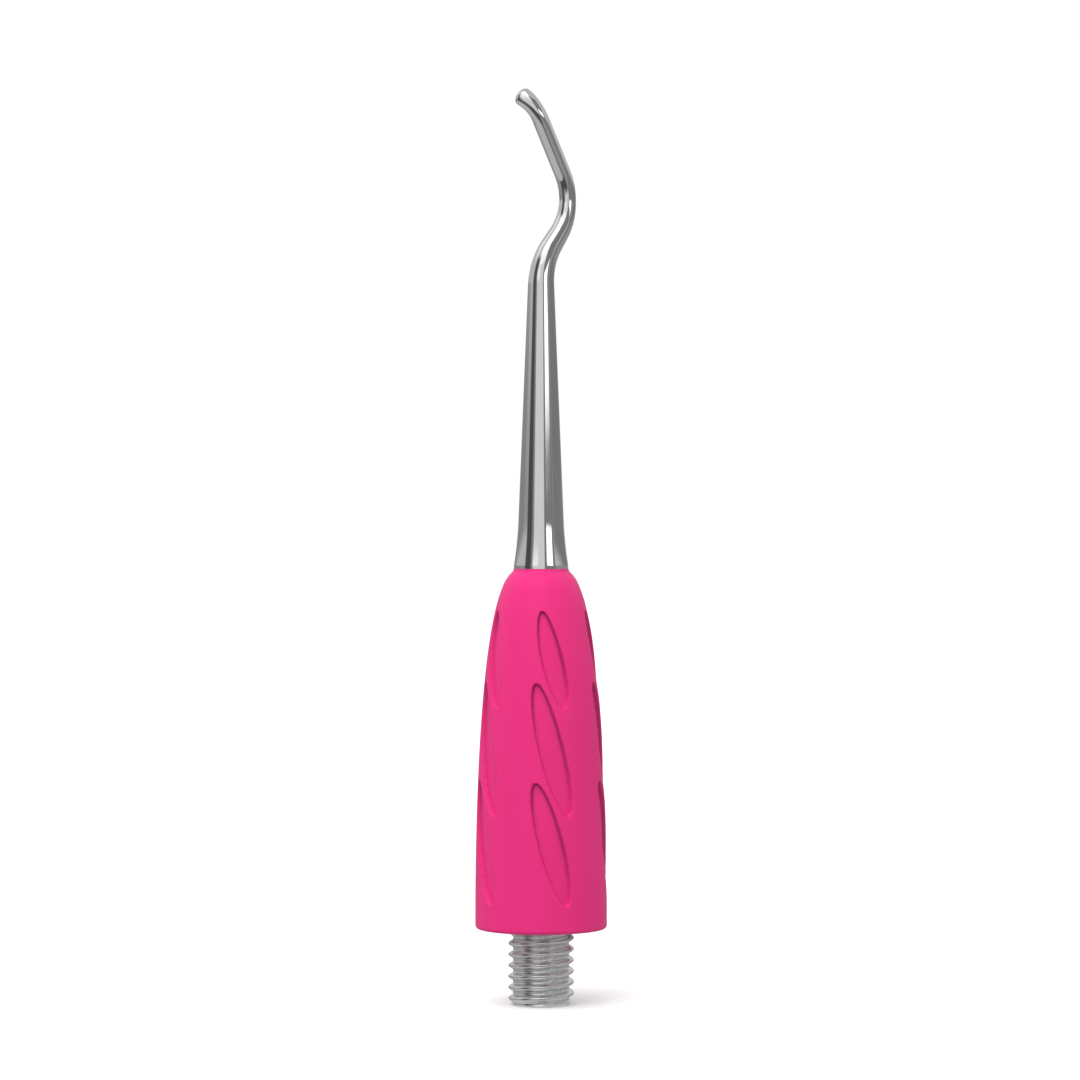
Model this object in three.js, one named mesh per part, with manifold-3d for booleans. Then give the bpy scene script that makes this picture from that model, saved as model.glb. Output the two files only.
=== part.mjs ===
// A screw-in working end for a dental elevator. A steel tip with three bends and a flattened blade is held
// by its tang in a rigid core. A moulded silicone grip covers the core, and a threaded stud at the other
// end screws the whole piece into an instrument handle.
//
// Millimetres and degrees. Z is the axis of the grip: the free end of the stud is at Z = 0 and the blade
// is at the top. The tip bends away from the axis and back over it, and its toe ends towards -X.

import * as THREE from 'three';
import { mergeVertices } from 'three/addons/utils/BufferGeometryUtils.js';
import Module from 'manifold-3d';

// Stud: an M6 x 1 thread, right-handed, along its whole length.
const THREAD_DIAMETER = 5.97;
const THREAD_PITCH = 1;
const THREAD_DEPTH = 0.43;
const THREAD_CREST_FLAT = 0.23; // share of the pitch
const THREAD_ROOT_FLAT = 0.27; // share of the pitch
const THREAD_START = 0.06; // height of a crest on the +X side
const THREAD_SPARE_TURNS = 3; // run past the ends of the stud and are trimmed off
const STUD_REACH = 6.9; // free length below the grip
const STUD_ENGAGEMENT = 7; // length held in the core
const STUD_CHAMFER = 0.55;

// Grip: a straight barrel that closes in to a rounded nose round the collar of the tip.
const GRIP_RADIUS = 6;
const GRIP_BOTTOM = STUD_REACH;
const GRIP_EDGE_RADIUS = 0.35;
const BARREL_TOP = 8;
const BARREL_EASE = 6.3; // how far the barrel keeps its direction before it closes in
const NOSE_EASE = 5;
const NOSE_RADIUS = 3.1;
const NOSE_TURN = 15.9;
const MOUTH_SLOPE = 47.6; // angle between the surface and the axis at the mouth
const MOUTH_RADIUS = 2.62;
const MOUTH_HEIGHT = 39.38;
const LIP_RADIUS = 2.575; // a thin lip stands up round the collar
const LIP_TOP = 39.66;

// Finger recesses: tiers of shallow slanted ovals, evenly spaced round the grip.
const RECESSES_PER_TIER = 5;
const RECESS_DEPTH = 0.35;
const RECESS_TIERS = [
  { height: 31.5, length: 8.85, width: 2, slant: 12.8, turn: 12.1 },
  { height: 23.4, length: 12.25, width: 2.3, slant: 14, turn: 9.7 },
  { height: 14.95, length: 11.35, width: 2.25, slant: 15, turn: 8.7 },
];

// Core: a grooved cylinder that narrows towards the nose of the grip.
const CORE_RADIUS = 4.2;
const CORE_SHOULDER = 20; // height where the core starts to narrow
const CORE_TOP = 34.6;
const CORE_TOP_RADIUS = 2.75;
const CORE_CHAMFER = 0.3;
const GROOVE_HEIGHTS = [9.5, 13, 16.5];
const GROOVE_WIDTH = 1.4;
const GROOVE_DEPTH = 0.5;
const STUD_HOLE_RADIUS = 3.12;
const DRILL_POINT_HEIGHT = 1.6;
const FIT_GAP = 0.1; // clearance between parts that are bonded or moulded together
const CUT_MARGIN = 1; // how far a cut runs past the face it opens

// Tip: collar, flare, slender cone, double bend and blade, with a tang below the collar.
const TANG_BOTTOM = 24;
const TANG_RADIUS = 1.7;
const TANG_CHAMFER = 0.3;
const COLLAR_BOTTOM = 38.9;
const COLLAR_TOP = 39.95;
const COLLAR_RADIUS = 2.475;
const FLARE_TOP = 44.1;
const FLARE_RADIUS = 34.7;
const FLARE_TOP_RADIUS = 2.06;
const BEND_START = 65.5;
const BEND_START_RADIUS = 1.2;
const SHANK_RADIUS = 0.765;
const TAPER_LENGTH = 8.4; // length past the start of the bends in which the shank thins out
const BLADE_LENGTH = 3.2;
const BLADE_WAIST = 0.05; // how far the blade draws in on its way to the wider toe
const TOE_RADIUS = 0.859;
const TOE_LENGTH = 0.55; // of the rounded end past the centreline
const BLADE_FLATNESS = 0.81; // thickness of the toe as a share of its width
const BLADE_SIDE = 12; // side of the straight tip the blade widens towards, from +X towards +Y

// Straight pieces and bends, upwards. A bend goes towards a side of the straight tip, from +X towards +Y.
const CENTRELINE = [
  { length: BEND_START },
  { radius: 6.3, turn: 35.8, towards: 36 },
  { length: 1.36 },
  { radius: 5.37, turn: 63.3, towards: 216 },
  { length: 5.32 },
  { radius: 3.48, turn: 42, towards: 139 },
  { length: 0.1 },
];

// Fineness of round surfaces: sides of a full circle, and steps along one curve.
const GRIP_SIDES = 60;
const ROUND_SIDES = 32;
const TIP_SIDES = 28;
const RECESS_SIDES = 26;
const RECESS_RINGS = 2;
const CURVE_STEPS = 9;
const NOSE_STEPS = 4;
const EDGE_STEPS = 3;
const FLARE_STEPS = 4;
const BEND_STEP = 0.75; // distance between rings in the bent part of the tip
const TOE_STEPS = 4;

const { degToRad, lerp, smoothstep } = THREE.MathUtils;

const wasm = await Module();
wasm.setup();

// Turns a closed three.js surface into a solid that can be joined and cut.
function solidFrom(geometry) {
  const bare = geometry.clone();
  bare.deleteAttribute('normal');
  bare.deleteAttribute('uv');
  const merged = mergeVertices(bare);
  const corners = merged.index.array;
  const kept = [];
  for (let i = 0; i < corners.length; i += 3) {
    const [a, b, c] = [corners[i], corners[i + 1], corners[i + 2]];
    if (a !== b && b !== c && c !== a) kept.push(a, b, c);
  }
  const vertProperties = new Float32Array(merged.attributes.position.array);
  return new wasm.Manifold(new wasm.Mesh({ numProp: 3, vertProperties, triVerts: new Uint32Array(kept) }));
}

function geometryFrom(solid) {
  const { vertProperties, triVerts } = solid.getMesh();
  const geometry = new THREE.BufferGeometry();
  geometry.setAttribute('position', new THREE.BufferAttribute(vertProperties, 3));
  geometry.setIndex(new THREE.BufferAttribute(triVerts, 1));
  geometry.computeVertexNormals();
  return geometry;
}

// Revolves an outline of [radius, height] pairs, listed upwards along the outside, about Z.
function revolve(outline, sides) {
  const points = outline.map(([radius, height]) => new THREE.Vector2(radius, height));
  return new THREE.LatheGeometry(points, sides).rotateX(Math.PI / 2);
}

// A closed surface from a grid of rows, each row a ring of points, with a point that closes each end.
function ringedSolid(rings, firstPoint, lastPoint) {
  const sides = rings[0].length;
  const positions = [firstPoint, ...rings.flat(), lastPoint].flat();
  const last = rings.length * sides + 1;
  const at = (row, side) => 1 + row * sides + (side % sides);
  const index = [];
  for (let side = 0; side < sides; side += 1) {
    index.push(0, at(0, side + 1), at(0, side));
    index.push(last, at(rings.length - 1, side), at(rings.length - 1, side + 1));
    for (let row = 0; row < rings.length - 1; row += 1) {
      index.push(at(row, side), at(row, side + 1), at(row + 1, side + 1));
      index.push(at(row, side), at(row + 1, side + 1), at(row + 1, side));
    }
  }
  const geometry = new THREE.BufferGeometry();
  geometry.setAttribute('position', new THREE.Float32BufferAttribute(positions, 3));
  geometry.setIndex(index);
  return solidFrom(geometry);
}

// ---- Threaded stud ----

// Radius of the thread at a height above a crest's lower edge, in pitches: crest, flank, root, flank.
const THREAD_PROFILE = [
  [0, THREAD_DIAMETER / 2],
  [THREAD_CREST_FLAT, THREAD_DIAMETER / 2],
  [(1 + THREAD_CREST_FLAT - THREAD_ROOT_FLAT) / 2, THREAD_DIAMETER / 2 - THREAD_DEPTH],
  [(1 + THREAD_CREST_FLAT + THREAD_ROOT_FLAT) / 2, THREAD_DIAMETER / 2 - THREAD_DEPTH],
];

// A right-handed helical thread that runs past both ends of the stud and is closed by a fan at each end.
function endlessThread(length) {
  const turns = Math.ceil(length / THREAD_PITCH) + THREAD_SPARE_TURNS;
  const perTurn = THREAD_PROFILE.length;
  const bottom = THREAD_START - (2 + THREAD_CREST_FLAT / 2) * THREAD_PITCH;
  const positions = [];
  for (let row = 0; row <= turns * perTurn; row += 1) {
    const [share, radius] = THREAD_PROFILE[row % perTurn];
    const height = bottom + (Math.floor(row / perTurn) + share) * THREAD_PITCH;
    for (let side = 0; side < ROUND_SIDES; side += 1) {
      const around = side / ROUND_SIDES;
      const angle = around * 2 * Math.PI;
      positions.push(radius * Math.cos(angle), radius * Math.sin(angle), height + around * THREAD_PITCH);
    }
  }
  // One full turn on, a side number past the last comes back one pitch higher.
  const at = (row, side) => (side < ROUND_SIDES ? row * ROUND_SIDES + side : (row + perTurn) * ROUND_SIDES);
  const lastRow = (turns - 1) * perTurn;
  const low = positions.length / 3;
  positions.push(0, 0, bottom + THREAD_PITCH / 2);
  positions.push(0, 0, bottom + (turns - 0.5) * THREAD_PITCH);
  const index = [];
  for (let side = 0; side < ROUND_SIDES; side += 1) {
    index.push(low, at(0, side + 1), at(0, side));
    index.push(low + 1, at(lastRow, side), at(lastRow, side + 1));
    for (let row = 0; row < lastRow; row += 1) {
      index.push(at(row, side), at(row, side + 1), at(row + 1, side + 1));
      index.push(at(row, side), at(row + 1, side + 1), at(row + 1, side));
    }
  }
  for (let row = 0; row < perTurn; row += 1) {
    index.push(low, at(row, 0), at(row + 1, 0));
    index.push(low + 1, at(lastRow + row + 1, 0), at(lastRow + row, 0));
  }
  const geometry = new THREE.BufferGeometry();
  geometry.setAttribute('position', new THREE.Float32BufferAttribute(positions, 3));
  geometry.setIndex(index);
  return solidFrom(geometry);
}

function threadedStud() {
  const length = STUD_REACH + STUD_ENGAGEMENT;
  const clear = STUD_CHAMFER + CUT_MARGIN;
  const endRadius = THREAD_DIAMETER / 2 - STUD_CHAMFER;
  const envelope = revolve(
    [
      [0, 0],
      [endRadius, 0],
      [endRadius + clear, clear],
      [endRadius + clear, length - clear],
      [endRadius, length],
      [0, length],
    ],
    ROUND_SIDES,
  );
  return endlessThread(length).intersect(solidFrom(envelope));
}

// ---- Inner core ----

// Outside of the core from its lower end to its top, moved outwards by a gap.
function coreOutline(gap) {
  const grooveRadius = CORE_RADIUS - GROOVE_DEPTH + gap;
  const radius = CORE_RADIUS + gap;
  const grooves = GROOVE_HEIGHTS.flatMap((height) => {
    const half = GROOVE_WIDTH / 2 - gap;
    return [
      [radius, height - half],
      [grooveRadius, height - half],
      [grooveRadius, height + half],
      [radius, height + half],
    ];
  });
  return [
    ...grooves,
    [radius, CORE_SHOULDER],
    [CORE_TOP_RADIUS + CORE_CHAMFER + gap, CORE_TOP - CORE_CHAMFER],
    [CORE_TOP_RADIUS + gap, CORE_TOP + gap],
  ];
}

function innerCore() {
  const holeTop = STUD_REACH + STUD_ENGAGEMENT + CORE_CHAMFER;
  const socketRadius = TANG_RADIUS + FIT_GAP;
  const socketBottom = TANG_BOTTOM - CORE_CHAMFER;
  return solidFrom(
    revolve(
      [
        [0, holeTop + DRILL_POINT_HEIGHT],
        [STUD_HOLE_RADIUS, holeTop],
        [STUD_HOLE_RADIUS, GRIP_BOTTOM],
        [CORE_RADIUS - CORE_CHAMFER, GRIP_BOTTOM],
        [CORE_RADIUS, GRIP_BOTTOM + CORE_CHAMFER],
        ...coreOutline(0),
        [socketRadius, CORE_TOP],
        [socketRadius, socketBottom],
        [0, socketBottom],
      ],
      ROUND_SIDES,
    ),
  );
}

// ---- Grip sleeve ----

// Points on a quarter or smaller arc: centre, radius, and first and last angle from +radius towards +Z.
function arc([centreRadius, centreHeight], radius, from, to, steps) {
  return Array.from({ length: steps + 1 }, (_, i) => {
    const angle = degToRad(lerp(from, to, i / steps));
    return [centreRadius + radius * Math.cos(angle), centreHeight + radius * Math.sin(angle)];
  });
}

// The side of the grip, from the barrel up over the nose to the mouth: one curve and one arc.
const noseArc = (() => {
  const centre = [
    MOUTH_RADIUS - NOSE_RADIUS * Math.cos(degToRad(MOUTH_SLOPE)),
    MOUTH_HEIGHT - NOSE_RADIUS * Math.sin(degToRad(MOUTH_SLOPE)),
  ];
  return arc(centre, NOSE_RADIUS, MOUTH_SLOPE - NOSE_TURN, MOUTH_SLOPE, NOSE_STEPS);
})();

const barrelCurve = (() => {
  const [noseRadius, noseHeight] = noseArc[0];
  const slope = degToRad(MOUTH_SLOPE - NOSE_TURN);
  return new THREE.CubicBezierCurve(
    new THREE.Vector2(GRIP_RADIUS, BARREL_TOP),
    new THREE.Vector2(GRIP_RADIUS, BARREL_TOP + BARREL_EASE),
    new THREE.Vector2(noseRadius + NOSE_EASE * Math.sin(slope), noseHeight - NOSE_EASE * Math.cos(slope)),
    new THREE.Vector2(noseRadius, noseHeight),
  );
})();

const gripSide = [
  ...barrelCurve.getPoints(CURVE_STEPS).map((point) => point.toArray()),
  ...noseArc.slice(1),
];

function gripRadiusAt(height) {
  const above = gripSide.findIndex((point) => point[1] > height);
  if (above <= 0) return above === 0 ? GRIP_RADIUS : MOUTH_RADIUS;
  const [lowRadius, lowHeight] = gripSide[above - 1];
  const [highRadius, highHeight] = gripSide[above];
  return lerp(lowRadius, highRadius, (height - lowHeight) / (highHeight - lowHeight));
}

// A cutter for one recess: a curved oval slab that follows the grip's surface, RECESS_DEPTH below it.
function recessCutter({ height, length, width, slant }, angle) {
  const lean = degToRad(slant);
  const across = gripRadiusAt(height);
  const onSurface = (share, around, offset) => {
    const along = share * (length / 2) * Math.cos(around);
    const aside = share * (width / 2) * Math.sin(around);
    const z = height + along * Math.cos(lean) - aside * Math.sin(lean);
    const turn = angle + (-along * Math.sin(lean) - aside * Math.cos(lean)) / across;
    const radius = gripRadiusAt(z) + offset;
    return [radius * Math.sin(turn), -radius * Math.cos(turn), z];
  };
  const corners = Array.from({ length: RECESS_SIDES }, (_, i) => (i / RECESS_SIDES) * 2 * Math.PI);
  const ring = (share, offset) => corners.map((around) => onSurface(share, around, offset));
  const shares = Array.from({ length: RECESS_RINGS }, (_, i) => (i + 1) / RECESS_RINGS);
  const floor = shares.map((share) => ring(share, -RECESS_DEPTH));
  const lid = shares.map((share) => ring(share, RECESS_DEPTH)).reverse();
  return ringedSolid([...floor, ...lid], onSurface(0, 0, -RECESS_DEPTH), onSurface(0, 0, RECESS_DEPTH));
}

function gripSleeve() {
  const edge = GRIP_RADIUS - GRIP_EDGE_RADIUS;
  const bottomEdge = arc([edge, GRIP_BOTTOM + GRIP_EDGE_RADIUS], GRIP_EDGE_RADIUS, -90, 0, EDGE_STEPS);
  const boreRadius = CORE_RADIUS + FIT_GAP;
  const outside = revolve(
    [[0, GRIP_BOTTOM], ...bottomEdge, ...gripSide, [LIP_RADIUS, LIP_TOP], [0, LIP_TOP]],
    GRIP_SIDES,
  );
  const throatRadius = TANG_RADIUS + FIT_GAP;
  const mouthRadius = COLLAR_RADIUS + FIT_GAP / 2;
  const hollow = revolve(
    [
      [0, GRIP_BOTTOM - CUT_MARGIN],
      [boreRadius, GRIP_BOTTOM - CUT_MARGIN],
      ...coreOutline(FIT_GAP),
      [throatRadius, CORE_TOP + FIT_GAP],
      [throatRadius, COLLAR_BOTTOM - FIT_GAP],
      [mouthRadius, COLLAR_BOTTOM - FIT_GAP],
      [mouthRadius, LIP_TOP + CUT_MARGIN],
      [0, LIP_TOP + CUT_MARGIN],
    ],
    ROUND_SIDES,
  );
  let sleeve = solidFrom(outside).subtract(solidFrom(hollow));
  for (const tier of RECESS_TIERS) {
    for (let i = 0; i < RECESSES_PER_TIER; i += 1) {
      const angle = degToRad(tier.turn + (360 / RECESSES_PER_TIER) * i);
      sleeve = sleeve.subtract(recessCutter(tier, angle));
    }
  }
  return sleeve;
}

// ---- Working tip ----

const lengthOf = ({ length, radius, turn }) => length ?? radius * degToRad(turn);
const centrelineLength = CENTRELINE.reduce((sum, stretch) => sum + lengthOf(stretch), 0);
const bladeStart = centrelineLength - BLADE_LENGTH;

// Place on the tip's centreline at a distance along it, and how the tip is turned there.
function centrelineAt(distance) {
  const place = new THREE.Vector3();
  const turned = new THREE.Quaternion();
  let left = distance;
  for (const [i, stretch] of CENTRELINE.entries()) {
    const step = i === CENTRELINE.length - 1 ? left : Math.min(left, lengthOf(stretch));
    if (stretch.turn === undefined) {
      place.add(new THREE.Vector3(0, 0, step).applyQuaternion(turned));
    } else {
      const angle = step / stretch.radius;
      const side = degToRad(stretch.towards);
      const aside = stretch.radius * (1 - Math.cos(angle));
      const up = stretch.radius * Math.sin(angle);
      const hinge = new THREE.Vector3(-Math.sin(side), Math.cos(side), 0);
      place.add(new THREE.Vector3(aside * Math.cos(side), aside * Math.sin(side), up).applyQuaternion(turned));
      turned.multiply(new THREE.Quaternion().setFromAxisAngle(hinge, angle));
    }
    left -= step;
    if (left <= 0) break;
  }
  return { place, turned };
}

// Flattens the blade of a tip that stands straight along Z, and then bends the whole tip.
function shape(geometry) {
  const position = geometry.attributes.position;
  const side = degToRad(BLADE_SIDE);
  const thin = new THREE.Vector3(-Math.sin(side), Math.cos(side), 0);
  for (let i = 0; i < position.count; i += 1) {
    const distance = position.getZ(i);
    const across = new THREE.Vector3(position.getX(i), position.getY(i), 0);
    const flattening = (1 - BLADE_FLATNESS) * smoothstep(distance, bladeStart, centrelineLength);
    across.addScaledVector(thin, -flattening * across.dot(thin));
    const { place, turned } = centrelineAt(distance);
    position.setXYZ(i, ...across.applyQuaternion(turned).add(place));
  }
  return geometry;
}

// Radius of the steel above the collar at a distance along the centreline.
function steelRadiusAt(distance) {
  const coneSlope = (FLARE_TOP_RADIUS - BEND_START_RADIUS) / (BEND_START - FLARE_TOP);
  if (distance < BEND_START) {
    const belowFlareTop = Math.max(FLARE_TOP - distance, 0);
    const flare = belowFlareTop ** 2 / (2 * FLARE_RADIUS);
    return BEND_START_RADIUS + coneSlope * (BEND_START - distance) + flare;
  }
  const taper = Math.min((distance - BEND_START) / TAPER_LENGTH, 1);
  const shank = lerp(BEND_START_RADIUS, SHANK_RADIUS, taper);
  const share = Math.max(distance - bladeStart, 0) / BLADE_LENGTH;
  const waist = BLADE_WAIST * (4 * share * (1 - share)) ** 2;
  return lerp(shank, TOE_RADIUS, smoothstep(share, 0, 1)) - waist;
}

function tipOutline() {
  const steps = (from, to, count) => Array.from({ length: count + 1 }, (_, i) => lerp(from, to, i / count));
  const flare = steps(COLLAR_TOP, FLARE_TOP, FLARE_STEPS);
  const bent = steps(BEND_START, centrelineLength, Math.round((centrelineLength - BEND_START) / BEND_STEP));
  const toe = arc([0, 0], TOE_RADIUS, 0, 90, TOE_STEPS).slice(1, -1);
  const toeTaper = TOE_LENGTH / TOE_RADIUS;
  return [
    [0, TANG_BOTTOM],
    [TANG_RADIUS - TANG_CHAMFER, TANG_BOTTOM],
    [TANG_RADIUS, TANG_BOTTOM + TANG_CHAMFER],
    [TANG_RADIUS, COLLAR_BOTTOM],
    [COLLAR_RADIUS, COLLAR_BOTTOM],
    ...[...flare, ...bent].map((distance) => [steelRadiusAt(distance), distance]),
    ...toe.map(([radius, height]) => [radius, centrelineLength + height * toeTaper]),
    [0, centrelineLength + TOE_LENGTH],
  ];
}

function workingTip() {
  return solidFrom(shape(revolve(tipOutline(), TIP_SIDES)));
}

// ---- Assembly ----

function piece(name, solid, finish) {
  const mesh = new THREE.Mesh(geometryFrom(solid), new THREE.MeshStandardMaterial(finish));
  mesh.name = name;
  return mesh;
}

const elevatorTip = new THREE.Group();
elevatorTip.add(
  piece('working_tip', workingTip(), { color: 0xb4b6b8, roughness: 0.12, metalness: 1 }),
  piece('grip_sleeve', gripSleeve(), { color: 0xe83a82, roughness: 0.5, metalness: 0 }),
  piece('inner_core', innerCore(), { color: 0x9c9fa1, roughness: 0.4, metalness: 1 }),
  piece('threaded_stud', threadedStud(), { color: 0x8d8f8e, roughness: 0.35, metalness: 1 }),
);

export default elevatorTip;
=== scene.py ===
import math

import bpy
import numpy as np
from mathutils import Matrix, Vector


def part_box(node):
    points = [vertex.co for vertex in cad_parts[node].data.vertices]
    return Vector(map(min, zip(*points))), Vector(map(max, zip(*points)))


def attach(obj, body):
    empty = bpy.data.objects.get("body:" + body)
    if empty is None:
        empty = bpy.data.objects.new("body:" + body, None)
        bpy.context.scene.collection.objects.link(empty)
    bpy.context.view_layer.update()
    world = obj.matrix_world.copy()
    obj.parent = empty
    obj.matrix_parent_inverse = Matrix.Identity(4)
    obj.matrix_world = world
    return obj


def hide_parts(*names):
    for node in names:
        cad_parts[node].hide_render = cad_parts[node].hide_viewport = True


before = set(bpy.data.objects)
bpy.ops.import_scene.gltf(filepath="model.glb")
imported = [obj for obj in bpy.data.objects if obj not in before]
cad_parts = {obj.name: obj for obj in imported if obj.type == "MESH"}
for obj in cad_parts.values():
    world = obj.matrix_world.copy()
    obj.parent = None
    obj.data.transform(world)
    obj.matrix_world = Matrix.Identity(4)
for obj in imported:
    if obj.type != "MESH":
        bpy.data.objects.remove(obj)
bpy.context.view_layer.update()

# The screw-in working end of a dental elevator: a bent, polished steel tip with a flattened blade,
# a moulded silicone grip, the steel core inside it and the threaded stud below it. Each CAD node is
# replaced by a fine surface of the same size. Z is the axis of the grip, and the camera looks along +Y.

# ---- Sizes, from the frame ----

tip_low, tip_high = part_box("working_tip")
grip_low, grip_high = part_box("grip_sleeve")
core_low, core_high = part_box("inner_core")
stud_low, stud_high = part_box("threaded_stud")

GRIP_RADIUS = (grip_high.x - grip_low.x) / 2
MM = GRIP_RADIUS / 6  # the grip is 12 mm across, so this is one millimetre of the design

# Stud
THREAD_RADIUS = 2.985 * MM
THREAD_PITCH = 1 * MM
THREAD_DEPTH = 0.43 * MM
THREAD_CREST = 0.23  # share of the half pitch that is crest
THREAD_ROOT = 0.27  # share of the half pitch that is root
THREAD_ROUNDING = 0.25  # how far the rounding of crest and root reaches into the flank
THREAD_START = 0.06 * MM  # height of a crest on the +X side
THREAD_SHARPNESS = 0.04 * MM  # width of the rounding between the thread and the end chamfers
STUD_END_RADIUS = 2.435 * MM
STUD_TOP = stud_high.z
STUD_SHOWN = 1 * MM  # height above the grip's lower edge up to which the thread is finely divided

# Grip
GRIP_BOTTOM = grip_low.z
GRIP_EDGE = 0.35 * MM
BARREL_TOP = 8 * MM
BARREL_EASE = 6.3 * MM
NOSE_EASE = 5 * MM
NOSE_RADIUS = 3.1 * MM
NOSE_TURN = math.radians(15.9)
MOUTH_SLOPE = math.radians(47.6)
MOUTH_RADIUS = 2.62 * MM
LIP_TOP = grip_high.z
LIP_RISE = 0.28 * MM  # height of the thin lip that feathers out up the collar
LIP_FOOT = 0.3  # share of the rise at which the lip is nearly upright
LIP_FOOT_RADIUS = 2.54 * MM
LIP_RADIUS = 2.51 * MM
GRIP_BORE_RADIUS = 2.485 * MM  # where the collar passes through
MOUTH_HEIGHT = LIP_TOP - LIP_RISE
NOSE_ZONE = 2.5 * MM  # height below the mouth over which the rows of the mesh are closer
RECESSES_PER_TIER = 5
RECESS_DEPTH = 0.35 * MM
RECESS_WALL = 0.14 * MM  # width of the slope down into a recess
RECESS_LEAN = math.radians(14)  # of the mesh columns, so that the long walls run along them
PAINTED_SHADE = "painted_shade"  # mesh attribute: painted shade, how much the foot of a recess wall is darkened where its shadow falls
SHADE_REACH = 0.5 * MM  # how far the painted shade fades out over the floor of a recess
SHADE_EDGE = 0.25 * MM  # over which the painted shade sets in at the edge of a recess
SHADE_LEAST = 0.15  # share of the painted shade left at the lower end of a recess
SHADE_BY_HEIGHT = 1.2  # how strongly the painted shade grows towards the upper end of a recess, as under a light from above
SHADE_BY_SIDE = 0.35  # how strongly the painted shade grows towards the right side of a recess, where its wall is in shadow
RECESS_TIERS = [
    {"height": 31.5 * MM, "length": 8.85 * MM, "width": 2 * MM, "slant": 12.8, "turn": 12.1},
    {"height": 23.4 * MM, "length": 12.25 * MM, "width": 2.3 * MM, "slant": 14, "turn": 9.7},
    {"height": 14.95 * MM, "length": 11.35 * MM, "width": 2.25 * MM, "slant": 15, "turn": 8.7},
]

# Core
CORE_RADIUS = (core_high.x - core_low.x) / 2
CORE_BOTTOM = core_low.z
CORE_TOP = core_high.z
CORE_TOP_RADIUS = 2.75 * MM
CORE_SHOULDER = 20 * MM
CORE_CHAMFER = 0.3 * MM
CORE_GROOVES = [9.5 * MM, 13 * MM, 16.5 * MM]  # heights of their middles
CORE_GROOVE_HALF = 0.7 * MM
CORE_GROOVE_DEPTH = 0.5 * MM
STUD_HOLE_RADIUS = 3.12 * MM
DRILL_POINT = 1.6 * MM  # height of the cone at the end of the stud's hole
FIT_GAP = 0.1 * MM

# Tip
TANG_BOTTOM = tip_low.z
TANG_RADIUS = 1.7 * MM
COLLAR_BOTTOM = 38.9 * MM
COLLAR_TOP = 39.95 * MM
COLLAR_RADIUS = 2.475 * MM
COLLAR_CREASE = 0.01 * MM  # keeps the shading crisp on each side of the collar's upper edge
FLARE_TOP = 44.1 * MM
FLARE_RADIUS = 34.7 * MM
FLARE_TOP_RADIUS = 2.06 * MM
BEND_START = 65.5 * MM
BEND_START_RADIUS = 1.2 * MM
SHANK_RADIUS = 0.765 * MM
TAPER_LENGTH = 8.4 * MM
BLADE_LENGTH = 3.2 * MM
BLADE_WAIST = 0.05 * MM  # how far the blade draws in on its way to the wider toe
TOE_RADIUS = 0.859 * MM
TOE_LENGTH = 0.55 * MM  # of the rounded end past the centreline
BLADE_FLATNESS = 0.81  # thickness of the toe as a share of its width
BLADE_SIDE = math.radians(12)  # side of the straight tip the blade widens towards, from +X towards +Y
# Length and radius of each piece, how far it bends, and towards which side, from +X towards +Y.
CENTRELINE = [
    (BEND_START, None, 0, 0),
    (None, 6.3 * MM, math.radians(35.8), math.radians(36)),
    (1.36 * MM, None, 0, 0),
    (None, 5.37 * MM, math.radians(63.3), math.radians(216)),
    (5.32 * MM, None, 0, 0),
    (None, 3.48 * MM, math.radians(42), math.radians(139)),
    (0.1 * MM, None, 0, 0),
]


# ---- Mesh building ----

SHARP_ANGLE = math.radians(38)  # edges bent further than this stay crisp


def quads_between(below, above):
    """Four-sided faces between rows of corner numbers."""
    return np.stack([below, np.roll(below, -1, 1), np.roll(above, -1, 1), above], axis=-1).reshape(-1, 4)


def skin(name, rings, poles=None):
    """A closed mesh over rings of points. Two poles close its ends, or the last ring joins the first."""
    rows, sides, _ = rings.shape
    corner = np.arange(rows * sides).reshape(rows, sides)
    below = corner if poles is None else corner[:-1]
    above = np.roll(corner, -1, axis=0) if poles is None else corner[1:]
    points = rings.reshape(-1, 3)
    faces = quads_between(below, above).tolist()
    if poles is not None:
        first, last = len(points), len(points) + 1
        points = np.vstack([points, poles])
        for side in range(sides):
            after = (side + 1) % sides
            faces.append([first, int(corner[0, after]), int(corner[0, side])])
            faces.append([last, int(corner[-1, side]), int(corner[-1, after])])
    mesh = bpy.data.meshes.new(name)
    mesh.from_pydata(points.tolist(), [], faces)
    mesh.validate()
    mesh.shade_smooth()
    mesh.set_sharp_from_angle(angle=SHARP_ANGLE)
    piece = bpy.data.objects.new(name, mesh)
    bpy.context.scene.collection.objects.link(piece)
    return piece


def round_rings(radius, height, angle):
    """Rings about Z. The angle runs from the -Y side towards +X."""
    return np.stack([radius * np.sin(angle), -radius * np.cos(angle), height + 0 * angle], axis=-1)


def turned(outline, sides):
    """Rings of a turned part from its outline of (radius, height) points."""
    outline = np.array(outline)
    angle = np.linspace(0, 2 * math.pi, sides, endpoint=False)[None, :]
    return round_rings(outline[:, :1], outline[:, 1:], angle)


def arc(centre, radius, start, end, steps):
    angle = np.linspace(start, end, steps + 1)
    return np.stack([centre[0] + radius * np.cos(angle), centre[1] + radius * np.sin(angle)], axis=-1)


def smooth_step(x):
    x = np.clip(x, 0, 1)
    return x * x * (3 - 2 * x)


def smooth_min(a, b, width):
    """The smaller of a and b, with their meeting line rounded over about that width."""
    share = np.clip(0.5 + 0.5 * (b - a) / width, 0, 1)
    return b + (a - b) * share - width * share * (1 - share)


# ---- Working tip ----

def piece_length(length, radius, turn, side):
    return length if radius is None else radius * turn


TIP_LENGTH = sum(piece_length(*piece) for piece in CENTRELINE)
BLADE_START = TIP_LENGTH - BLADE_LENGTH


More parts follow.
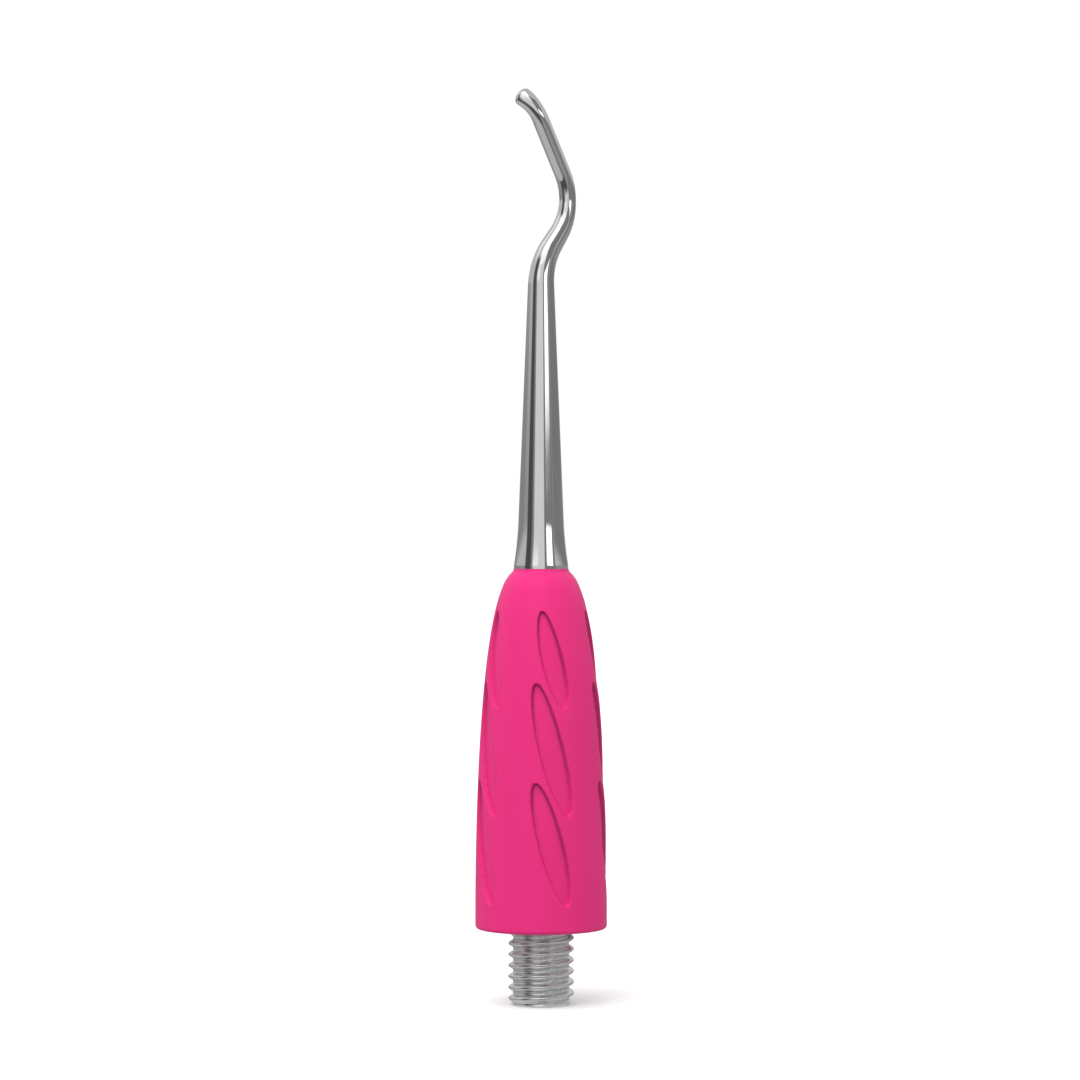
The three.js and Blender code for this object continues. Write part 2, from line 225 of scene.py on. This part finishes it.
def hinge_turns(side, angle):
    """Rotation matrices by each angle that tilt the Z axis towards one side."""
    x, y = -math.sin(side), math.cos(side)
    cross = np.array([[0, 0, y], [0, 0, -x], [-y, x, 0]])
    angle = angle[:, None, None]
    return np.eye(3) + np.sin(angle) * cross + (1 - np.cos(angle)) * (cross @ cross)


def centreline(distance):
    """The place of each distance along the tip's centreline, and the rotation of the tip there."""
    place = np.zeros((len(distance), 3))
    facing = np.tile(np.eye(3), (len(distance), 1, 1))
    left = distance.copy()
    for number, (length, radius, turn, side) in enumerate(CENTRELINE):
        last = number == len(CENTRELINE) - 1
        step = left if last else np.minimum(left, piece_length(length, radius, turn, side))
        if radius is None:
            move = np.stack([0 * step, 0 * step, step], axis=-1)
            after = facing
        else:
            angle = step / radius
            aside = radius * (1 - np.cos(angle))
            move = [aside * math.cos(side), aside * math.sin(side), radius * np.sin(angle)]
            move = np.stack(move, axis=-1)
            after = facing @ hinge_turns(side, angle)
        place = place + np.einsum("nij,nj->ni", facing, move)
        facing = after
        left = left - step
    return place, facing


def steel_radius(distance):
    """Radius of the tip above its collar."""
    cone_slope = (FLARE_TOP_RADIUS - BEND_START_RADIUS) / (BEND_START - FLARE_TOP)
    flare = np.maximum(FLARE_TOP - distance, 0) ** 2 / (2 * FLARE_RADIUS)
    cone = BEND_START_RADIUS + cone_slope * (BEND_START - distance) + flare
    taper = np.clip((distance - BEND_START) / TAPER_LENGTH, 0, 1)
    shank = BEND_START_RADIUS + (SHANK_RADIUS - BEND_START_RADIUS) * taper
    share = np.clip((distance - BLADE_START) / BLADE_LENGTH, 0, 1)
    waist = BLADE_WAIST * (4 * share * (1 - share)) ** 2
    blade = shank + (TOE_RADIUS - shank) * smooth_step(share) - waist
    return np.where(distance < BEND_START, cone, blade)


def tip_outline():
    """Rows of the straight tip as (radius, height)."""
    tang = [
        (TANG_RADIUS - CORE_CHAMFER, TANG_BOTTOM),
        (TANG_RADIUS, TANG_BOTTOM + CORE_CHAMFER),
        (TANG_RADIUS, COLLAR_BOTTOM),
    ]
    collar = [(COLLAR_RADIUS, COLLAR_BOTTOM), (COLLAR_RADIUS, COLLAR_TOP - COLLAR_CREASE)]
    spans = [
        (COLLAR_TOP, COLLAR_TOP + COLLAR_CREASE, 1),
        (COLLAR_TOP + COLLAR_CREASE, FLARE_TOP, 24),
        (FLARE_TOP, BEND_START, 40),
        (BEND_START, BLADE_START, 150),
        (BLADE_START, TIP_LENGTH, 120),
    ]
    rows = [np.linspace(low, high, count, endpoint=False) for low, high, count in spans]
    height = np.concatenate(rows)
    toe = np.linspace(0, math.pi / 2, 48, endpoint=False)
    steel = np.stack([steel_radius(height), height], axis=-1)
    end = np.stack([TOE_RADIUS * np.cos(toe), TIP_LENGTH + TOE_LENGTH * np.sin(toe)], axis=-1)
    return np.concatenate([tang, collar, steel, end])


def build_tip():
    """A turned tip whose blade is flattened, and which is then bent along the centreline."""
    rings = turned(tip_outline(), 200)
    height = rings[:, 0, 2]
    thin = np.array([-math.sin(BLADE_SIDE), math.cos(BLADE_SIDE), 0])
    flattening = (1 - BLADE_FLATNESS) * smooth_step((height - BLADE_START) / BLADE_LENGTH)
    across = rings * [1, 1, 0]
    across = across - (flattening[:, None] * (across @ thin))[..., None] * thin
    place, turn = centreline(height)
    rings = place[:, None] + np.einsum("nij,nkj->nki", turn, across)
    rings[..., 2] = np.minimum(rings[..., 2], tip_high.z)
    end, _ = centreline(np.array([TIP_LENGTH + TOE_LENGTH]))
    return skin("polished_tip", rings, [[0, 0, TANG_BOTTOM], end[0].tolist()])


# ---- Grip ----

def grip_side():
    """Outline of the grip's side from the barrel to the mouth, as an array of (radius, height)."""
    slope = MOUTH_SLOPE - NOSE_TURN
    centre = (
        MOUTH_RADIUS - NOSE_RADIUS * math.cos(MOUTH_SLOPE),
        MOUTH_HEIGHT - NOSE_RADIUS * math.sin(MOUTH_SLOPE),
    )
    nose = arc(centre, NOSE_RADIUS, slope, MOUTH_SLOPE, 60)
    ends = [
        np.array([GRIP_RADIUS, BARREL_TOP]),
        np.array([GRIP_RADIUS, BARREL_TOP + BARREL_EASE]),
        nose[0] + NOSE_EASE * np.array([math.sin(slope), -math.cos(slope)]),
        nose[0],
    ]
    t = np.linspace(0, 1, 300)[:, None]
    weights = [(1 - t) ** 3, 3 * (1 - t) ** 2 * t, 3 * (1 - t) * t**2, t**3]
    curve = sum(weight * end for weight, end in zip(weights, ends))
    return np.vstack([curve, nose[1:]])


SIDE = grip_side()


def grip_radius(height):
    return np.interp(height, SIDE[:, 1], SIDE[:, 0], left=GRIP_RADIUS)


def recesses(angle, height):
    """Depth of the finger recesses at each place on the grip, and how much painted shade darkens it there.
    """
    depth = 0 * angle + 0 * height
    painted_shade = 0 * depth
    spacing = 2 * math.pi / RECESSES_PER_TIER
    for tier in RECESS_TIERS:
        slant = math.radians(tier["slant"])
        turn = (angle - math.radians(tier["turn"]) + spacing / 2) % spacing - spacing / 2
        round_way = turn * grip_radius(tier["height"])
        up = height - tier["height"]
        along = (up * math.cos(slant) - round_way * math.sin(slant)) / (tier["length"] / 2)
        aside = (up * math.sin(slant) + round_way * math.cos(slant)) / (tier["width"] / 2)
        share = np.maximum(np.hypot(along, aside), 1e-6)
        steepness = np.hypot(along / (tier["length"] / 2), aside / (tier["width"] / 2)) / share
        inside = (1 - share) / np.maximum(steepness, 1e-6)
        depth = np.maximum(depth, RECESS_DEPTH * smooth_step(inside / RECESS_WALL + 0.5))
        # painted shade: heavier towards the upper end and right side of each recess, where its wall's
        # shadow falls
        shadow_side_weight = smooth_step(0.5 + SHADE_BY_HEIGHT * up / tier["length"] + SHADE_BY_SIDE * aside / share)
        fade = np.clip(1 - inside / SHADE_REACH, 0, 1) ** 3 * smooth_step(inside / SHADE_EDGE + 0.5)
        painted_shade = np.maximum(painted_shade, (SHADE_LEAST + (1 - SHADE_LEAST) * shadow_side_weight) * fade)
    return depth, painted_shade


def core_outline(gap):
    """Outside of the core above its chamfer, moved outwards by a gap."""
    points = []
    half = CORE_GROOVE_HALF - gap
    groove = CORE_RADIUS - CORE_GROOVE_DEPTH + gap
    for height in CORE_GROOVES:
        points += [(CORE_RADIUS + gap, height - half), (groove, height - half)]
        points += [(groove, height + half), (CORE_RADIUS + gap, height + half)]
    points.append((CORE_RADIUS + gap, CORE_SHOULDER))
    points.append((CORE_TOP_RADIUS + CORE_CHAMFER + gap, CORE_TOP - CORE_CHAMFER))
    points.append((CORE_TOP_RADIUS + gap, CORE_TOP + gap))
    return points


def build_grip():
    sides = 336
    edge_centre = (GRIP_RADIUS - GRIP_EDGE, GRIP_BOTTOM + GRIP_EDGE)
    edge = arc(edge_centre, GRIP_EDGE, -math.pi / 2, 0, 8)
    barrel = np.linspace(GRIP_BOTTOM + GRIP_EDGE, MOUTH_HEIGHT - NOSE_ZONE, 240)[1:]
    nose = np.linspace(MOUTH_HEIGHT - NOSE_ZONE, MOUTH_HEIGHT, 26)[1:-1]
    wall = np.concatenate([barrel, nose])
    throat = TANG_RADIUS + FIT_GAP
    rest = [
        (LIP_FOOT_RADIUS, MOUTH_HEIGHT + LIP_FOOT * LIP_RISE),
        (LIP_RADIUS, LIP_TOP),
        (GRIP_BORE_RADIUS, LIP_TOP),
        (GRIP_BORE_RADIUS, COLLAR_BOTTOM - FIT_GAP),
        (throat, COLLAR_BOTTOM - FIT_GAP),
        (throat, CORE_TOP + FIT_GAP),
        *reversed(core_outline(FIT_GAP)),
        (CORE_RADIUS + FIT_GAP, GRIP_BOTTOM),
    ]
    radius = np.concatenate([edge[:, 0], grip_radius(wall), [point[0] for point in rest]])[:, None]
    height = np.concatenate([edge[:, 1], wall, [point[1] for point in rest]])[:, None]
    angle = np.linspace(0, 2 * math.pi, sides, endpoint=False)[None, :]
    angle = angle - math.tan(RECESS_LEAN) * (np.minimum(height, MOUTH_HEIGHT) - GRIP_BOTTOM) / GRIP_RADIUS
    outer = np.arange(len(radius))[:, None] < len(edge) + len(wall)
    depth, painted_shade = (np.where(outer, values, 0) for values in recesses(angle, height))
    grip = skin("silicone_grip", round_rings(radius - depth, height, angle))
    # painted shade at the foot of the recess walls, stored on the mesh for the silicone's colour
    shade_layer = grip.data.attributes.new(PAINTED_SHADE, "FLOAT", "POINT")
    shade_layer.data.foreach_set("value", painted_shade.ravel())
    return grip


# ---- Core and stud ----

def build_core():
    hole_top = STUD_TOP + CORE_CHAMFER
    socket = TANG_RADIUS + FIT_GAP
    outline = [
        (STUD_HOLE_RADIUS, hole_top),
        (STUD_HOLE_RADIUS, CORE_BOTTOM + FIT_GAP),
        (STUD_HOLE_RADIUS + FIT_GAP, CORE_BOTTOM),
        (CORE_RADIUS - CORE_CHAMFER, CORE_BOTTOM),
        (CORE_RADIUS, CORE_BOTTOM + CORE_CHAMFER),
        *core_outline(0),
        (socket, CORE_TOP),
        (socket, TANG_BOTTOM - CORE_CHAMFER),
    ]
    poles = [[0, 0, hole_top + DRILL_POINT], [0, 0, TANG_BOTTOM - CORE_CHAMFER]]
    return skin("turned_core", turned(outline, 128), poles)


def thread_radius(angle, height):
    """Radius of the right-handed thread. The angle runs from the -Y side towards +X."""
    turns = (angle - math.pi / 2) / (2 * math.pi)
    phase = (height - THREAD_START) / THREAD_PITCH - turns
    from_crest = 2 * np.abs((phase + 0.5) % 1 - 0.5)
    flank = (from_crest - THREAD_CREST) / (1 - THREAD_CREST - THREAD_ROOT)
    fall = smooth_step((flank + THREAD_ROUNDING) / (1 + 2 * THREAD_ROUNDING))
    return THREAD_RADIUS - THREAD_DEPTH * fall


def build_stud():
    shown_top = GRIP_BOTTOM + STUD_SHOWN
    shown = np.linspace(0, shown_top, 260)
    hidden = np.linspace(shown_top, STUD_TOP, 90)[1:]
    height = np.concatenate([shown, hidden])[:, None]
    angle = np.linspace(0, 2 * math.pi, 144, endpoint=False)[None, :]
    chamfer = STUD_END_RADIUS + np.minimum(height, STUD_TOP - height)
    radius = smooth_min(thread_radius(angle, height), chamfer + 0 * angle, THREAD_SHARPNESS)
    return skin("rolled_stud", round_rings(radius, height, angle), [[0, 0, 0], [0, 0, STUD_TOP]])


# ---- Materials ----

class Nodes:
    """A short way to add and join shader nodes in one tree."""

    def __init__(self, tree):
        self.tree = tree
        tree.nodes.clear()

    def add(self, kind, **settings):
        node = self.tree.nodes.new(kind)
        for name, value in settings.items():
            setattr(node, name, value)
        return node

    def put(self, value, socket):
        if isinstance(value, bpy.types.NodeSocket):
            self.tree.links.new(value, socket)
        else:
            socket.default_value = value

    def math(self, operation, *values):
        node = self.add("ShaderNodeMath", operation=operation)
        for value, socket in zip(values, node.inputs):
            self.put(value, socket)
        return node.outputs[0]

    def remap(self, value, low, high, to_low, to_high, smooth=False):
        node = self.add("ShaderNodeMapRange", interpolation_type="SMOOTHSTEP" if smooth else "LINEAR")
        for number, item in enumerate((value, low, high, to_low, to_high)):
            self.put(item, node.inputs[number])
        return node.outputs[0]

    def noise(self, vector, scale, detail=4.0, roughness=0.5):
        node = self.add("ShaderNodeTexNoise")
        self.put(vector, node.inputs["Vector"])
        node.inputs["Scale"].default_value = scale
        node.inputs["Detail"].default_value = detail
        node.inputs["Roughness"].default_value = roughness
        return node.outputs["Fac"]

    def stretched(self, scale):
        """Object coordinates in metres, stretched by a scale on each axis."""
        place = self.add("ShaderNodeTexCoord").outputs["Object"]
        mapping = self.add("ShaderNodeMapping")
        self.put(place, mapping.inputs["Vector"])
        mapping.inputs["Scale"].default_value = scale
        return mapping.outputs["Vector"]

    def choose(self, share, low, high):
        node = self.add("ShaderNodeMix", data_type="FLOAT")
        self.put(share, node.inputs["Factor"])
        self.put(low, node.inputs["A"])
        self.put(high, node.inputs["B"])
        return node.outputs["Result"]

    def blend_colour(self, share, low, high):
        node = self.add("ShaderNodeMix", data_type="RGBA")
        self.put(share, node.inputs["Factor"])
        for colour, end in ((low, "A"), (high, "B")):
            linked = isinstance(colour, bpy.types.NodeSocket)
            self.put(colour if linked else (*colour, 1), node.inputs[end])
        return node.outputs["Result"]

    def attribute(self, name):
        return self.add("ShaderNodeAttribute", attribute_name=name).outputs["Fac"]

    def bump(self, height, strength, distance):
        node = self.add("ShaderNodeBump")
        self.put(height, node.inputs["Height"])
        node.inputs["Strength"].default_value = strength
        node.inputs["Distance"].default_value = distance
        return node.outputs["Normal"]

    def principled(self, **values):
        shader = self.add("ShaderNodeBsdfPrincipled")
        for name, value in values.items():
            self.put(value, shader.inputs[name.replace("_", " ")])
        output = self.add("ShaderNodeOutputMaterial")
        self.tree.links.new(shader.outputs["BSDF"], output.inputs["Surface"])
        return shader


def new_material(name):
    material = bpy.data.materials.new(name)
    material.use_nodes = True
    return material, Nodes(material.node_tree)


def polished_steel():
    material, nodes = new_material("polished_steel")
    lines = nodes.noise(nodes.stretched((1, 1, 0.06)), 9000, 3)
    clouds = nodes.noise(nodes.stretched((1, 1, 1)), 260, 5)
    colour = nodes.blend_colour(clouds, (0.66, 0.665, 0.67), (0.74, 0.745, 0.75))
    roughness = nodes.remap(nodes.math("MULTIPLY", lines, clouds), 0.1, 0.45, 0.03, 0.085)
    shader = nodes.principled(Base_Color=colour, Metallic=1.0, Roughness=roughness)
    nodes.put(nodes.bump(lines, 0.03, 0.00001), shader.inputs["Normal"])
    return material


def satin_steel():
    material, nodes = new_material("satin_steel")
    rolled = nodes.noise(nodes.stretched((0.2, 0.2, 1)), 14000, 4)
    clouds = nodes.noise(nodes.stretched((1, 1, 1)), 900, 6)
    colour = nodes.blend_colour(clouds, (0.74, 0.745, 0.74), (0.86, 0.865, 0.86))
    roughness = nodes.remap(clouds, 0.3, 0.7, 0.22, 0.3)
    shader = nodes.principled(Base_Color=colour, Metallic=1.0, Roughness=roughness)
    nodes.put(nodes.bump(rolled, 0.12, 0.00001), shader.inputs["Normal"])
    return material


def turned_steel():
    material, nodes = new_material("turned_steel")
    rings = nodes.noise(nodes.stretched((0.15, 0.15, 1)), 12000, 3)
    colour = nodes.blend_colour(rings, (0.42, 0.42, 0.43), (0.55, 0.55, 0.56))
    roughness = nodes.remap(rings, 0.3, 0.7, 0.25, 0.45)
    shader = nodes.principled(Base_Color=colour, Metallic=1.0, Roughness=roughness)
    nodes.put(nodes.bump(rings, 0.2, 0.00001), shader.inputs["Normal"])
    return material


def pink_silicone():
    material, nodes = new_material("pink_silicone")
    grain = nodes.noise(nodes.stretched((1, 1, 1)), 7000, 3, 0.6)
    clouds = nodes.noise(nodes.stretched((1, 1, 1)), 180, 4)
    colour = nodes.blend_colour(clouds, (0.68, 0.017, 0.175), (0.74, 0.021, 0.195))
    # painted shade: the mesh attribute darkens the foot of each recess wall towards a dark magenta,
    # standing in for its shadow
    colour = nodes.blend_colour(nodes.attribute(PAINTED_SHADE), colour, (0.1, 0.01, 0.055))
    roughness = nodes.remap(grain, 0.3, 0.7, 0.38, 0.5)
    shader = nodes.principled(Base_Color=colour, Roughness=roughness, IOR=1.36)
    shader.inputs["Subsurface Weight"].default_value = 0.12
    shader.inputs["Subsurface Radius"].default_value = (1.0, 0.25, 0.35)
    shader.inputs["Subsurface Scale"].default_value = 0.0006
    nodes.put(nodes.bump(grain, 0.08, 0.00002), shader.inputs["Normal"])
    return material


def floor_paper():
    material, nodes = new_material("floor_paper")
    fibre = nodes.noise(nodes.stretched((1, 1, 1)), 900, 5)
    colour = nodes.blend_colour(fibre, (0.9, 0.9, 0.9), (0.93, 0.93, 0.93))
    nodes.principled(Base_Color=colour, Roughness=0.9)
    return material


# ---- Studio ----

# Soft panels round the part, from back to front: azimuth from the camera's side towards +X, elevation,
# softness of the edge, and brightness.
PANELS = [
    {"azimuth": (-200, 200), "elevation": (6, 100), "soft": 3, "light": 0.62},  # ceiling
    {"azimuth": (-200, 200), "elevation": (-100, -27), "soft": 3, "light": 0.58},  # bench
    {"azimuth": (66, 150), "elevation": (1, 11), "soft": 3, "light": 0.24},
    {"azimuth": (-200, -100), "elevation": (-3, 6), "soft": 3, "light": 0.3},
    {"azimuth": (-125, -84), "elevation": (34, 64), "soft": 8, "light": 1.05},
    {"azimuth": (-48, -30), "elevation": (-26, 40), "soft": 4, "light": 0.28},
    {"azimuth": (-74, -46), "elevation": (-26, 40), "soft": 4, "light": 0.09},  # gap between two boxes
    {"azimuth": (-36, 18), "elevation": (-3, 50), "soft": 3, "light": 0.82},  # main soft box
    {"azimuth": (-36, 18), "elevation": (30, 50), "soft": 4, "light": 1.3},
    {"azimuth": (-38, -14), "elevation": (14, 28), "soft": 5, "light": 1.2},
    {"azimuth": (-54, 25), "elevation": (44, 75), "soft": 6, "light": 1.6},
    {"azimuth": (16, 64), "elevation": (-6, 48), "soft": 3, "light": 0.24},
    {"azimuth": (26, 54), "elevation": (6.3, 17), "soft": 1, "light": 1.9},  # window
    {"azimuth": (-72, 12), "elevation": (-26, -7), "soft": 3, "light": 0.09},  # front edge of the bench
    {"azimuth": (-44, -24), "elevation": (-12, -4), "soft": 3, "light": 0.36},
    {"azimuth": (-8, 40), "elevation": (-55, -28), "soft": 4, "light": 0.1},
]
ROOM_LIGHT = 0.36  # what the steel mirrors where there is no panel
AMBIENT_BELOW = 0.52
AMBIENT_ABOVE = 1.1
AMBIENT_TILT = 60  # degrees of elevation from the horizon to the full value above or below


def studio_world():
    """Soft panels and gaps for the steel to mirror. The camera itself sees plain white."""
    world = bpy.data.worlds.new("studio")
    bpy.context.scene.world = world
    world.use_nodes = True
    nodes = Nodes(world.node_tree)
    direction = nodes.add("ShaderNodeSeparateXYZ")
    nodes.put(nodes.add("ShaderNodeTexCoord").outputs["Generated"], direction.inputs[0])
    x, y, z = direction.outputs
    azimuth = nodes.math("DEGREES", nodes.math("ARCTAN2", x, nodes.math("MULTIPLY", y, -1.0)))
    elevation = nodes.math("DEGREES", nodes.math("ARCSINE", z))
    light = ROOM_LIGHT
    for panel in PANELS:
        share = 1.0
        for value, (low, high) in ((azimuth, panel["azimuth"]), (elevation, panel["elevation"])):
            soft = panel["soft"]
            rise = nodes.remap(value, low - soft, low + soft, 0.0, 1.0, smooth=True)
            fall = nodes.remap(value, high - soft, high + soft, 1.0, 0.0, smooth=True)
            share = nodes.math("MULTIPLY", share, nodes.math("MULTIPLY", rise, fall))
        light = nodes.choose(share, light, panel["light"])
    rays = nodes.add("ShaderNodeLightPath")
    ambient = nodes.remap(elevation, -AMBIENT_TILT, AMBIENT_TILT, AMBIENT_BELOW, AMBIENT_ABOVE)
    light = nodes.choose(rays.outputs["Is Diffuse Ray"], light, ambient)
    light = nodes.choose(rays.outputs["Is Camera Ray"], light, 1.0)
    background = nodes.add("ShaderNodeBackground")
    background.inputs["Color"].default_value = (1, 1, 1, 1)
    nodes.put(light, background.inputs["Strength"])
    output = nodes.add("ShaderNodeOutputWorld")
    nodes.tree.links.new(background.outputs[0], output.inputs["Surface"])
    world.cycles.sampling_method = "NONE"


def soft_sun(name, heading, strength, angle):
    """A broad light that shades the part but isn't mirrored in it."""
    data = bpy.data.lights.new(name, "SUN")
    data.energy = strength
    data.angle = math.radians(angle)
    light = bpy.data.objects.new(name, data)
    light.rotation_euler = Vector(heading).to_track_quat("-Z", "Y").to_euler()
    light.visible_glossy = False
    bpy.context.scene.collection.objects.link(light)


def build_floor():
    """A round white sheet just under the part."""
    reach = 3.0
    clearance = 0.00002
    rings = turned([(reach * share, -clearance) for share in (0.05, 0.3, 1)], 96)
    mesh = bpy.data.meshes.new("floor")
    rows, sides, _ = rings.shape
    corner = np.arange(rows * sides).reshape(rows, sides)
    faces = quads_between(corner[:-1], corner[1:])[:, ::-1].tolist()
    faces.append(corner[0].tolist())
    mesh.from_pydata(rings.reshape(-1, 3).tolist(), [], faces)
    floor = bpy.data.objects.new("floor", mesh)
    bpy.context.scene.collection.objects.link(floor)
    floor.data.materials.append(floor_paper())
    floor.visible_glossy = False
    floor.visible_diffuse = False


def add_camera():
    """A level camera that looks along +Y at the middle of the part, from far enough to flatten it."""
    distance = 328 * MM
    view_width = 98.4 * MM  # what the frame spans at the part
    aside = -0.1 * MM
    height = 42.28 * MM
    data = bpy.data.cameras.new("camera")
    data.sensor_width = 36
    data.lens = data.sensor_width * distance / view_width
    data.clip_start = 0.01
    camera = bpy.data.objects.new("camera", data)
    camera.location = (aside, -distance, height)
    camera.rotation_euler = (math.pi / 2, 0, 0)
    bpy.context.scene.collection.objects.link(camera)
    bpy.context.scene.camera = camera


# ---- Assembly ----

def place(piece, material, node, slot):
    piece.data.materials.append(material)
    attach(piece, "root")
    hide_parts(node)


place(build_tip(), polished_steel(), "working_tip", "polished_steel")
place(build_grip(), pink_silicone(), "grip_sleeve", "grip_silicone")
place(build_core(), turned_steel(), "inner_core", "core_steel")
place(build_stud(), satin_steel(), "threaded_stud", "satin_steel")

build_floor()
studio_world()
soft_sun("key", (0.3, 0.6, -1), 1.9, 50)
add_camera()
bpy.context.scene.view_settings.view_transform = "Standard"
